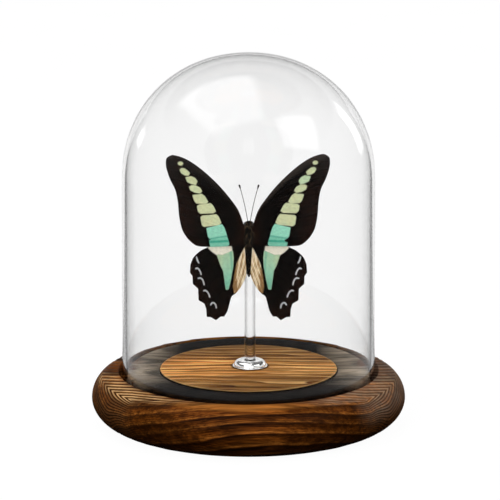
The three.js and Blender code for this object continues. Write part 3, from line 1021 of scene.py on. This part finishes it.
def cell(outline, x, z, rounding=0.35, soft=0.16):
    """1 inside a cell with rounded corners, 0 outside. The outline is drawn in by the rounding, and what
    lies within that distance of it counts as inside. Everything in millimetres."""
    points = np.array(outline)
    centre = points.mean(axis=0)
    reach = np.linalg.norm(points - centre, axis=1).mean()
    core = centre + (points - centre) * (1 - rounding / reach)
    closed = np.vstack([core, core[:1]])
    away = distance_to_line(closed, x, z)
    within = np.zeros(x.shape, bool)
    for (ax, az), (bx, bz) in zip(closed[:-1], closed[1:]):
        crosses = (az > z) != (bz > z)
        within ^= crosses & (x < (bx - ax) * (z - az) / np.where(bz == az, 1e-9, bz - az) + ax)
    signed = np.where(within, -away, away) - rounding
    return 1 - smoothstep(-soft, soft, signed)


def strokes(lines, core, edge, x, z):
    """1 within `core` millimetres of any of the lines, fading to 0 at `edge`."""
    return np.max([1 - smoothstep(core, edge, distance_to_line(line, x, z)) for line in lines], axis=0)


def vein_lines(u, v, veins, start, width):
    """1 on the veins, which run from the root to the outer margin at fixed shares v of the wing's depth,
    and fade in from u = start."""
    nearest = np.min(np.abs(v[..., None] - np.array(veins)), axis=-1)
    return (1 - smoothstep(0.3 * width, width, nearest)) * smoothstep(start - 0.15, start + 0.15, u)


def forewing_marks(x, z, u, v, side):
    """Marks of a forewing's upper side from its own formulas, in millimetres out from the axis."""
    pale = np.max([cell(outline, x, z) for outline in PALE_CELLS], axis=0)
    greener = 0.3 * cell(PALE_CELLS[2], x, z) if side > 0 else np.zeros_like(x)
    turquoise = np.maximum(cell(TURQUOISE_CELL, x, z), greener)
    # The teal is strongest along two lines that fall towards the margin.
    upper_line = 0.75 * smoothstep(0.6, 0.15, np.abs(z - 76.9 + 0.18 * (x - 12)))
    lower_line = 0.42 + 0.58 * smoothstep(0.75, 0.2, np.abs(z - 75.3 + 0.05 * (x - 12)))
    teal = np.maximum(cell(TEAL_CELL, x, z) * lower_line, upper_line * turquoise)
    lower = cell(TEAL_CELL, x, z)
    if side > 0:
        notch = cell(NOTCH, x, z, 0.2)
        lower, teal, turquoise = lower * (1 - notch), teal * (1 - notch), turquoise * (1 - notch)
    margin = smoothstep(0.62, 1.0, u) * (0.5 + 0.5 * smoothstep(0.2, 0.7, v)) + smoothstep(0.24, 0.02, u)
    # Painted sheen along the front edge, stronger on the right wing.
    costa = (1 - smoothstep(0.02, 0.09, v)) * (1.0 if side > 0 else 0.45)
    return {
        "pale": pale,
        "turquoise": np.maximum(turquoise, lower),
        "teal": teal,
        "margin": margin,
        "costa": costa,
        "vein": vein_lines(u, v, FORE_VEINS, 0.35, 0.012),
    }


def hindwing_marks(x, z, u, v, side):
    """Marks of a hindwing's upper side from its own formulas, in millimetres out from the axis."""
    cream = cell(CREAM_PATCH, x, z, 0.3, 0.25)
    wedge = cell(WEDGE, x, z, 0.3, 0.2)
    dusky = smoothstep(9.2, 11.5, x + 0.12 * (z - 66))
    fold = cell(INNER_FOLD, x, z, 0.3, 0.25)
    # The fold's streaks are two waves across it, which lean outwards towards its foot.
    lean = x - 0.9 - 0.42 * smoothstep(74, 55, z) * (74 - z) * 0.5
    streak = 0.5 + 0.3 * np.sin(lean * 4.3 + 0.9 * np.sin(z / 2.7 + side))
    streak = streak + 0.3 * np.sin(lean * 9.7 + z / 1.9 + side)
    streak = streak + 0.3 * smoothstep(66, 72, z) - 0.8 * smoothstep(0.9, 0.2, 4.9 + 0.05 * (z - 54) - x)
    ridge = smoothstep(0.8, 0.1, np.abs(x - 6.6 - 0.1 * (z - 66)))
    return {
        "cream": cream * (1 - wedge),
        "turquoise": wedge * (0.75 - 0.4 * dusky) * (0.55 + 0.45 * smoothstep(69, 60, z)),
        "pale": wedge,
        "teal": wedge * (0.22 + 0.3 * smoothstep(64, 57, z) + 0.35 * ridge),
        "fold": fold,
        "streak": streak,
        "lunule": strokes(LUNULES, 0.12, 0.36, x, z),
        "red": strokes(RED_MARKS, 0.35, 0.7, x, z),
        "margin": smoothstep(0.75, 1.0, u),
        "vein": vein_lines(u, v, HIND_VEINS, 0.3, 0.014),
    }


# Points along and across each wing, and thickness in millimetres at the edge and what the middle adds.
FORE_ALONG, FORE_ACROSS, HIND_ALONG, HIND_ACROSS = 190, 150, 150, 190
EDGE_THICKNESS, MIDDLE_EXTRA = 0.1, 0.12
MARK_NAMES = "pale turquoise teal cream fold streak lunule red margin costa vein".split()


def wing_shell(sheet, depth, thickness):
    """Front and back grids at depth -+ thickness / 2 along Y, joined by a strip of quads round the edge.
    Returns the points and faces, looking outwards for a wing whose grid turns left to right."""
    rows, columns = sheet.shape[:2]
    front = np.stack([sheet[..., 0], depth - thickness / 2, sheet[..., 1]], axis=-1)
    back = np.stack([sheet[..., 0], depth + thickness / 2, sheet[..., 1]], axis=-1)
    index = np.arange(rows * columns).reshape(rows, columns)
    edge = np.concatenate([index[:, 0], index[-1, 1:], index[-2::-1, -1], index[0, -2:0:-1]])
    following = np.roll(edge, -1)
    total = rows * columns
    faces = [
        grid_faces(rows, columns),
        grid_faces(rows, columns, first=total)[:, ::-1],
        np.stack([edge, edge + total, following + total, following], axis=1),
    ]
    return np.vstack([front.reshape(-1, 3), back.reshape(-1, 3)]), np.vstack(faces)


def outward_faces(points, faces):
    """Turns every face round if the closed shell's volume, the sum of a . (b x c) / 6, comes out negative."""
    a, b, c, d = (points[faces[:, k]] for k in range(4))
    volume = np.einsum("ij,ij->i", a, np.cross(b, c)).sum() + np.einsum("ij,ij->i", a, np.cross(c, d)).sum()
    return faces if volume > 0 else faces[:, ::-1]


def fore_camber(u, v):
    """Millimetres by which a forewing lies back: hollow along its middle, its tip swept back."""
    return -0.55 * np.sin(pi * np.clip(u, 0, 1)) + 0.5 * u**2 + 0.25 * v * u


def hind_camber(u, v):
    """Millimetres by which a hindwing lies back: further towards the margin, less in its middle."""
    return 0.35 * u**2 - 0.2 * np.sin(pi * v) * u


def build_wing(node, side, edges, plane, marks_for, camber, raised, material):
    """One wing: a patch between its four edges, bowed by its camber, ribbed along its veins, thinned
    towards its edges, turned about the hinge by `raised`, and carrying its marks for both sides."""
    sheet = patch(*edges)
    shape = sheet.shape[:2]
    u, v = np.meshgrid(np.linspace(0, 1, shape[0]), np.linspace(0, 1, shape[1]), indexing="ij")
    x, z = sheet[..., 0] / MM, sheet[..., 1] / MM
    marks = marks_for(x, z, u, v, side)
    edge_fade = smoothstep(0, 0.05, np.minimum(np.minimum(u, 1 - u), np.minimum(v, 1 - v)))
    thickness = (EDGE_THICKNESS + MIDDLE_EXTRA * edge_fade) * MM
    flat = np.stack([sheet[..., 0], np.zeros_like(x), sheet[..., 1]], axis=-1)
    ribs = 0.1 * marks["vein"] + 0.05 * ripples(flat, 6 * MM, 11 + side) * edge_fade
    bulge = 0.55 * marks.get("fold", 0.0)
    depth = plane + (camber(u, v) - ribs - bulge) * MM
    points, faces = wing_shell(sheet, depth, thickness)
    points[:, 0] *= side
    out, up = points[:, 0] - WING_HINGE[0], points[:, 2] - WING_HINGE[1]
    points[:, 0] = WING_HINGE[0] + out * cos(raised) - up * sin(raised)
    points[:, 2] = WING_HINGE[1] + out * sin(raised) + up * cos(raised)
    faces = outward_faces(points, faces)
    values = {mark: np.tile(marks.get(mark, np.zeros_like(x)).ravel(), 2) for mark in MARK_NAMES}
    values["under"] = np.repeat([0.0, 1.0], x.size)
    return new_piece(f"{node}_scaled", points, faces, material, values, [node])


class DOME_OT_wings(bpy.types.Operator):
    """Four spread wings with their cells, crescents, folds and veins"""

    bl_idname = "insect_dome.wings"
    bl_label = "Wings"

    def execute(self, context):
        material = wing_scales(context.scene.dome_butterfly)
        fore_edges = [edge_line(line, FORE_ALONG) for line in (FORE_LEAD, FORE_TRAIL)]
        fore_edges += [edge_line(line, FORE_ACROSS) for line in (FORE_ROOT, FORE_OUTER)]
        hind_edges = [edge_line(line, HIND_ALONG) for line in (HIND_LEAD, HIND_INNER)]
        hind_edges += [edge_line(HIND_ROOT, HIND_ACROSS), edge_line(HIND_OUTER, HIND_ACROSS, rounded=False)]
        fore = fore_edges, FOREWING_Y, forewing_marks, fore_camber
        hind = hind_edges, HINDWING_Y, hindwing_marks, hind_camber
        for word, side in SIDES:
            raised = RIGHT_WING_RAISE if side > 0 else 0.0
            build_wing(f"forewing_{word}", side, *fore, raised, material)
            build_wing(f"hindwing_{word}", side, *hind, 0.0, material)
        return {"FINISHED"}


# ------------------------------------------------------------------ body, fur, eyes, antennae, legs

# Body radius in millimetres at each height above the table.
BODY_PROFILE = [
    [0, 60.2], [0.45, 60.9], [0.85, 63], [1.2, 66], [1.6, 69], [1.8, 71.5], [1.6, 73.2], [2.2, 74.8],
    [2.7, 77], [2.45, 79], [1.45, 80.6], [1.7, 81.6], [1.5, 82.6], [0.9, 83.1], [0, 83.3],
]
ABDOMEN_END, HEAD_TOP, SEGMENT = 60.2, 83.3, 1.55
THORAX_SPAN, ABDOMEN_SPAN = (73, 83), (61.5, 74)
FUR_WIDTH, PALP_WIDTH = 0.14 * MM, 0.07 * MM
EYE_OUT, EYE_FORWARD, EYE_HEIGHT = 1.25, 0.7, 82.0
EYE_SIZE = np.array([0.62, 0.8, 0.85]) * MM
PALP_OUT, PALP_FORWARD, PALP_HEIGHT = 0.45, 1.1, 82.6
PALP_HAIRS = 260


def body_radius(height):
    """The body's radius at heights in millimetres, from a smooth curve through its profile."""
    curve = spline(BODY_PROFILE, 400)
    return np.interp(height, curve[:, 1], np.maximum(curve[:, 0], 0))


def body_point(turn, height):
    """A point of the body: centre + (r cos a, 0.92 r sin a, z), the abdomen pinched at each segment."""
    radius = body_radius(height)
    pinch = 0.07 * np.abs(np.sin(pi * (height - ABDOMEN_END) / SEGMENT)) ** 0.5 * smoothstep(74, 71, height)
    radius = radius * (0.94 + pinch)
    x = BODY_CENTRE[0] + radius * np.cos(turn) * MM
    y = BODY_CENTRE[1] + 0.92 * radius * np.sin(turn) * MM
    return np.stack(np.broadcast_arrays(x, y, height * MM), axis=-1)


def hairs(roots, ways, lengths, widths, seed):
    """Many short hairs as one mesh: each is a narrow blade root -> middle -> tip, two points wide but
    for its tip, bent a little by gravity. Returns points, triangles and a mark that rises to 1 at the
    tip of one hair in seven and is 0 on the others."""
    chance = np.random.default_rng(seed)
    ways = ways / np.linalg.norm(ways, axis=1, keepdims=True)
    across = np.cross(ways, chance.normal(size=ways.shape))
    across /= np.linalg.norm(across, axis=1, keepdims=True)
    across *= widths[:, None] / 2
    middle = roots + ways * lengths[:, None] * 0.55
    tip = roots + ways * lengths[:, None]
    tip[:, 2] -= 0.16 * lengths
    inner = across * 0.7
    points = np.stack([roots - across, roots + across, middle - inner, middle + inner, tip], axis=1)
    triangles = np.array([[0, 1, 3], [0, 3, 2], [2, 3, 4]])
    faces = (np.arange(len(roots))[:, None, None] * 5 + triangles).reshape(-1, 3)
    pale = np.outer(chance.random(len(roots)) > 0.86, [0, 0, 0.7, 0.7, 1.0])
    return points.reshape(-1, 3), faces, {"tip": pale.ravel()}


def fur_on_body(count, seed):
    """Hairs over head, thorax and abdomen, long only on the thorax; they lean out and down the body."""
    chance = np.random.default_rng(seed)
    turn = chance.uniform(0, 2 * pi, count)
    upper = chance.random(count) < 0.72
    height = np.where(upper, chance.uniform(*THORAX_SPAN, count), chance.uniform(*ABDOMEN_SPAN, count))
    roots = body_point(turn, height)
    away = np.stack([np.cos(turn), np.sin(turn), np.zeros(count)], axis=1)
    down = np.array([0, 0, -1.0])
    ways = away * 0.85 + down * 0.75 + chance.normal(scale=0.35, size=(count, 3))
    on_thorax = smoothstep(72, 75, height)
    lengths = (0.5 + 1.5 * on_thorax * chance.random(count) ** 2) * MM
    return hairs(roots, ways, lengths, np.full(count, FUR_WIDTH), seed + 1)


class DOME_OT_body(bpy.types.Operator):
    """Head, thorax and abdomen with their fur, eyes and palps"""

    bl_idname = "insect_dome.body"
    bl_label = "Body"

    def execute(self, context):
        butterfly = context.scene.dome_butterfly
        fur = dark_fur(butterfly)
        torso = body_point(full_turn(64)[:, None], np.linspace(ABDOMEN_END, HEAD_TOP, 190)[None])
        no_tips = {"tip": np.zeros(torso.shape[:2])}
        round_piece("butterfly_torso", torso, fur, no_tips, ["butterfly_body"])
        points, faces, tips = fur_on_body(butterfly.hairs, 5)
        new_piece("butterfly_fur", points, faces, fur, tips)

        horn = dark_horn("eye_horn", 0.12)
        a = full_turn(40)[:, None]
        b = np.linspace(-pi / 2, pi / 2, 24)[None]
        ball = np.stack(np.broadcast_arrays(np.cos(a) * np.cos(b), np.sin(a) * np.cos(b), np.sin(b)), axis=-1)
        for word, side in SIDES:
            middle = np.array([BODY_X + side * EYE_OUT, BODY_Y - EYE_FORWARD, EYE_HEIGHT]) * MM
            eye = middle + ball * EYE_SIZE
            round_piece(f"eye_{word}", eye, horn)

        chance = np.random.default_rng(8)
        count = PALP_HAIRS
        side = np.where(chance.random(count) < 0.5, -1, 1)
        x = BODY_X + side * PALP_OUT + chance.normal(scale=0.12, size=count)
        y = BODY_Y - PALP_FORWARD + chance.normal(scale=0.1, size=count)
        roots = np.stack([x, y, PALP_HEIGHT + chance.uniform(-0.6, 0.5, count)], axis=1) * MM
        ways = np.stack([side * 0.1, np.full(count, -0.5), np.full(count, 1.0)], axis=1)
        ways = ways + chance.normal(scale=0.15, size=(count, 3))
        lengths = chance.uniform(0.5, 1.1, count) * MM
        points, faces, tips = hairs(roots, ways, lengths, np.full(count, PALP_WIDTH), 9)
        new_piece("palps", points, faces, fur, tips)
        return {"FINISHED"}


ANTENNA_BASE = [0.5, 83.0]
ANTENNA_TIP = [3.9, 98.0]
ANTENNA_LEAN = -0.8
ANTENNA_BEND = 0.42
STALK_RADIUS, CLUB_EXTRA = 0.13, 0.24


class DOME_OT_antennae(bpy.types.Operator):
    """Two thin stalks that end in clubs, each a curve from its base to its tip in millimetres"""

    bl_idname = "insect_dome.antennae"
    bl_label = "Antennae"

    def execute(self, context):
        horn = dark_horn()
        t = np.linspace(0, 1, 90)
        bend = 2 * t * (1 - t) * ANTENNA_TIP[0] * ANTENNA_BEND
        out = bend + t**2 * ANTENNA_TIP[0] + (1 - t) ** 2 * ANTENNA_BASE[0]
        rise = ANTENNA_BASE[1] + t * (ANTENNA_TIP[1] - ANTENNA_BASE[1])
        back = BODY_Y + t * ANTENNA_LEAN
        club = CLUB_EXTRA * smoothstep(0.86, 0.95, t) + 0.02 * np.sin(t * 260)
        radii = (STALK_RADIUS + club) * rounded_off(t, 0.02) * MM
        for word, side in SIDES:
            path = np.stack([BODY_X + side * out, back, rise], axis=1)
            stalk, node = tube(path * MM, radii, 12), f"antenna_{word}"
            round_piece(f"{node}_clubbed", stalk, horn, {}, [node])
        return {"FINISHED"}


# Joints of each right leg in millimetres: hip, knee, ankle and toe, folded against the underside.
LEG_JOINTS = [
    [[0.9, -1.0, 79.4], [2.9, 0.7, 80.6], [2.6, 1.3, 77.6], [2.9, 1.1, 75.4]],
    [[1.1, -0.8, 77.4], [3.3, 1.0, 76.6], [2.9, 1.6, 73.0], [3.3, 1.2, 70.8]],
    [[1.0, -0.8, 75.6], [3.0, 1.2, 72.4], [2.2, 1.4, 67.6], [2.6, 0.9, 65.2]],
]


class DOME_OT_legs(bpy.types.Operator):
    """Six thin legs, dried and folded against the underside beside the rod"""

    bl_idname = "insect_dome.legs"
    bl_label = "Legs"

    def execute(self, context):
        horn = dark_horn("leg_horn", 0.35)
        along = np.linspace(0, 1, 44)
        radii = 0.24 - 0.13 * along + 0.04 * np.sin(along * 9.4)
        radii = radii * rounded_off(along, 0.03) * MM
        legs, faces = [], []
        for joints in LEG_JOINTS:
            for side in (-1, 1):
                path = evened(spline(np.array(joints) * [side, 1, 1], 60), len(along))
                path[:, 0] += BODY_X
                leg = tube(path * MM, radii, 10)
                first = len(legs) * leg[..., 0].size
                faces.append(grid_faces(*leg.shape[:2], wrap_rows=True, first=first))
                legs.append(leg.reshape(-1, 3))
        new_piece("folded_legs", np.vstack(legs), np.vstack(faces), horn)
        return {"FINISHED"}


# ------------------------------------------------------------------ floor, lights and camera


def pale_floor():
    """Pale floor that gives most of its light itself, so that shadows hardly show on it."""
    finish = Finish("pale_floor")
    finish.tint = finish.steps(finish.noise((40, 40, 40), detail=2), (0.3, 0.045), (0.7, 0.055))
    finish.set(emission_color=1, emission_strength=0.97)
    return finish.made(roughness=0.9, specular_ior_level=0.0)


def softbox(name, way, edge, distance, width, depth, radiance, aim):
    """A rectangular lamp `distance` from the aim point along `way`, facing it, its width laid along
    `edge` as far as that is square to the way, its light fading towards its edges. Its power is
    radiance x pi x area."""
    lamp = bpy.data.lights.new(name, "AREA")
    lamp.shape = "RECTANGLE"
    lamp.size, lamp.size_y = width, depth
    lamp.energy = radiance * pi * width * depth
    box = placed(name, lamp)
    way = Vector(way).normalized()
    across = (Vector(edge) - way * way.dot(Vector(edge))).normalized()
    box.location = Vector(aim) + way * distance
    box.rotation_euler = Matrix([across, way.cross(across), way]).transposed().to_euler()
    lamp.use_nodes = True
    glow = Nodes(lamp.node_tree)
    place = glow.node("NewGeometry", "Parametric")
    from_edge = [glow.math("PINGPONG", glow.node("SeparateXYZ", axis, i0=place), 0.5) for axis in ("X", "Y")]
    fades = [glow.span(share, 0, EDGE_FADE, way="SMOOTHSTEP") for share in from_edge]
    glow.put(lamp.node_tree.nodes["Emission"].inputs["Strength"], glow.times(*fades))
    return box


# Name, way from the aim point, edge, distance, width, depth and radiance.
SOFTBOXES = [
    ["overhead", (-0.29, 0.03, 0.957), (0.97, 0.19, 0.14), 1.5, 1.6, 2.1, 1.7],
    ["front_right", (0.66, -0.30, 0.69), (0.31, 0.345, -0.195), 1.5, 1.1, 0.95, 2.2],
    ["right_strip", (0.72, 0.67, 0.19), (0.68, -0.73, 0.0), 1.5, 0.35, 0.7, 2.2],
    ["left_window", (-0.75, 0.65, 0.10), (0.65, 0.75, 0.0), 1.6, 0.3, 0.2, 2.0],
    ["front_fill", (-0.15, -0.83, 0.55), (1.0, 0.0, 0.0), 1.7, 2.4, 1.8, 2.0],
]
EDGE_FADE = 0.16
LAMP_AIM = (0, 0, 90 * MM)

# Point in the middle of the view, the camera's film width in millimetres and its sight in metres.
CAMERA_AIM = np.array([0.594, 14.6, 66.8]) * MM
FILM, FAR_CLIP = 36, 30

# How far the floor lies under the base, and degrees of the mirrored part to each side of +Y.
FLOOR_DROP = 0.05 * MM
BRIGHT_SECTOR = 33


def bowl(levels, half_turn):
    """Surface of revolution through (radius, height) levels, half_turn degrees to each side of +Y."""
    turn = np.radians(90 + np.linspace(-half_turn, half_turn, 97))[:, None]
    radius, height = np.array(levels).T
    x, y = radius * np.cos(turn), radius * np.sin(turn)
    return np.stack([x, y, np.broadcast_to(height - FLOOR_DROP, x.shape)], axis=-1)


def stage_sheet(name, sheet, material):
    """A sheet of the stage from its grid of points, facing up and inwards."""
    mesh = bpy.data.meshes.new(name)
    mesh.from_pydata(sheet.reshape(-1, 3).tolist(), [], grid_faces(*sheet.shape[:2])[:, ::-1].tolist())
    mesh.materials.append(material)
    piece = placed(name, mesh)
    return piece


class DOME_OT_stage(bpy.types.Operator):
    """Pale floor, soft boxes, dim surroundings and the camera"""

    bl_idname = "insect_dome.stage"
    bl_label = "Floor, lights and camera"

    def execute(self, context):
        stage = context.scene.dome_stage
        reach = stage.floor_radius
        material = pale_floor()
        flat = [[0, 0], [0.1, 0], [0.4, 0], [1.5, 0], [reach * 0.9, 0], [reach, reach / 30]]
        floor = stage_sheet("floor", bowl([*flat, [reach * 1.05, reach / 2]], 180), material)
        floor.visible_diffuse = floor.visible_glossy = False
        # What the glass mirrors of the floor is only the part behind the dome, with a lower wall.
        low_wall = bowl([*flat, [reach * 1.05, reach / 6]], BRIGHT_SECTOR)
        sector = stage_sheet("floor_behind", low_wall, material)
        sector.visible_camera = sector.visible_transmission = False
        sector.visible_diffuse = sector.visible_shadow = False
        boxes = [softbox(*row, LAMP_AIM) for row in SOFTBOXES]
        # The front fill lights the wood and isn't mirrored by the glass.
        boxes[-1].visible_glossy = False

        world = bpy.data.worlds.new("dim_studio")
        world.use_nodes = True
        glow = Nodes(world.node_tree)
        rise = glow.node("SeparateXYZ", "Z", i0=glow.node("TexCoord", "Generated"))
        backing = world.node_tree.nodes["Background"]
        glow.put(backing.inputs["Color"], 1)
        glow.put(backing.inputs["Strength"], glow.span(rise, -0.02, 0.25, 0.02, 0.12))
        context.scene.world = world

        tilt = stage.elevation
        forward = np.array([0, cos(tilt), -sin(tilt)])
        lens = bpy.data.cameras.new("camera")
        lens.sensor_width = FILM
        lens.lens = FILM * stage.camera_distance / stage.frame_width
        lens.clip_end = FAR_CLIP
        camera = placed("camera", lens)
        camera.location = CAMERA_AIM - forward * stage.camera_distance
        camera.rotation_euler = (pi / 2 - tilt, 0, 0)
        context.scene.camera = camera
        context.scene.view_settings.view_transform = "Standard"
        return {"FINISHED"}


# ------------------------------------------------------------------ panel, registration and build

PIECE_OPERATORS = [
    DOME_OT_wood_base,
    DOME_OT_ring_and_disc,
    DOME_OT_glass_dome,
    DOME_OT_rod_and_foot,
    DOME_OT_wings,
    DOME_OT_body,
    DOME_OT_antennae,
    DOME_OT_legs,
    DOME_OT_stage,
]


class DOME_PT_panel(bpy.types.Panel):
    """Buttons that build the object piece by piece"""

    bl_idname = "DOME_PT_panel"
    bl_label = "Insect in glass dome"
    bl_space_type = "VIEW_3D"
    bl_region_type = "UI"
    bl_category = "Insect Dome"

    def draw(self, context):
        for operator in PIECE_OPERATORS:
            self.layout.operator(operator.bl_idname)
        for group in SETTINGS:
            settings = getattr(context.scene, group)
            box = self.layout.box()
            for name in settings.__annotations__:
                box.prop(settings, name)


SETTINGS = {
    "dome_wood": DomeWoodSettings,
    "dome_glass": DomeGlassSettings,
    "dome_butterfly": DomeButterflySettings,
    "dome_stage": DomeStageSettings,
}
CLASSES = [*SETTINGS.values(), *PIECE_OPERATORS, DOME_PT_panel]


def register():
    """Registers the classes and hangs each group of settings on the scene."""
    for kind in CLASSES:
        bpy.utils.register_class(kind)
    for name, kind in SETTINGS.items():
        setattr(bpy.types.Scene, name, PointerProperty(type=kind))


def unregister():
    """Takes the settings and classes away again."""
    for name in SETTINGS:
        delattr(bpy.types.Scene, name)
    for kind in reversed(CLASSES):
        bpy.utils.unregister_class(kind)


def main():
    """Builds every piece."""
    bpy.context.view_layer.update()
    register()
    for operator in PIECE_OPERATORS:
        group, name = operator.bl_idname.split(".")
        getattr(getattr(bpy.ops, group), name)()


if __name__ == "__main__":
    main()
